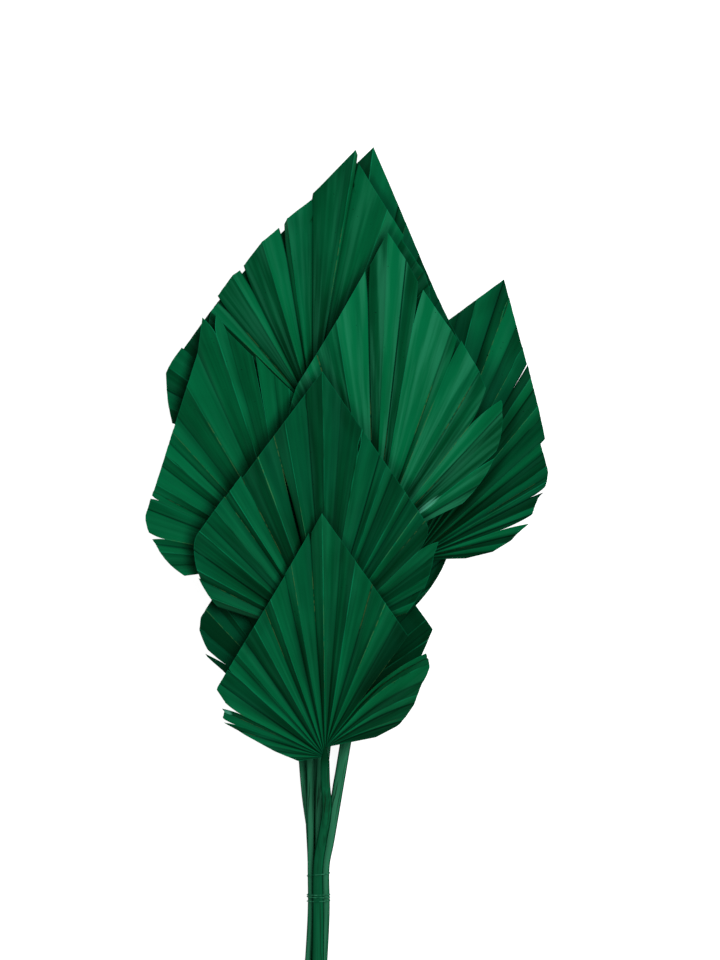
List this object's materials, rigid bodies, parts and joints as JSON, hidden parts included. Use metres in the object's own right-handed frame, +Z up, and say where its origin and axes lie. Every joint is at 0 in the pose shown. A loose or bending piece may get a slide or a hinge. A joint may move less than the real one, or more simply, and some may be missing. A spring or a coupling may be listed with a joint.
{
  "type": "palm spear bunch",
  "caption": "Tied bunch of dried, dyed fan-palm leaves trimmed to spear points, lying on its back: pleated blades on slim stalks, bound by a wound elastic.",
  "frame": {"origin": "on the surface that the bunch lies on, under the middle of its box", "axes": "+Y from the cut stalk ends to the leaf tips, +Z up out of the leaf fronts, +X to the right as the leaf fronts are seen"},
  "size_m": [0.2222, 0.5006, 0.0619],
  "materials": {
    "dyed_leaf": "satin, dried leaf dyed dark green",
    "elastic": "satin, translucent green"
  },
  "bodies": {
    "root": {"spear_front": "dyed_leaf", "spear_middle": "dyed_leaf", "spear_low_behind": "dyed_leaf", "spear_upper_right": "dyed_leaf", "spear_left": "dyed_leaf", "spear_top": "dyed_leaf", "spear_top_behind": "dyed_leaf", "spear_right": "dyed_leaf", "spear_back": "dyed_leaf", "elastic_tie": "elastic"}
  },
  "joints": []
}
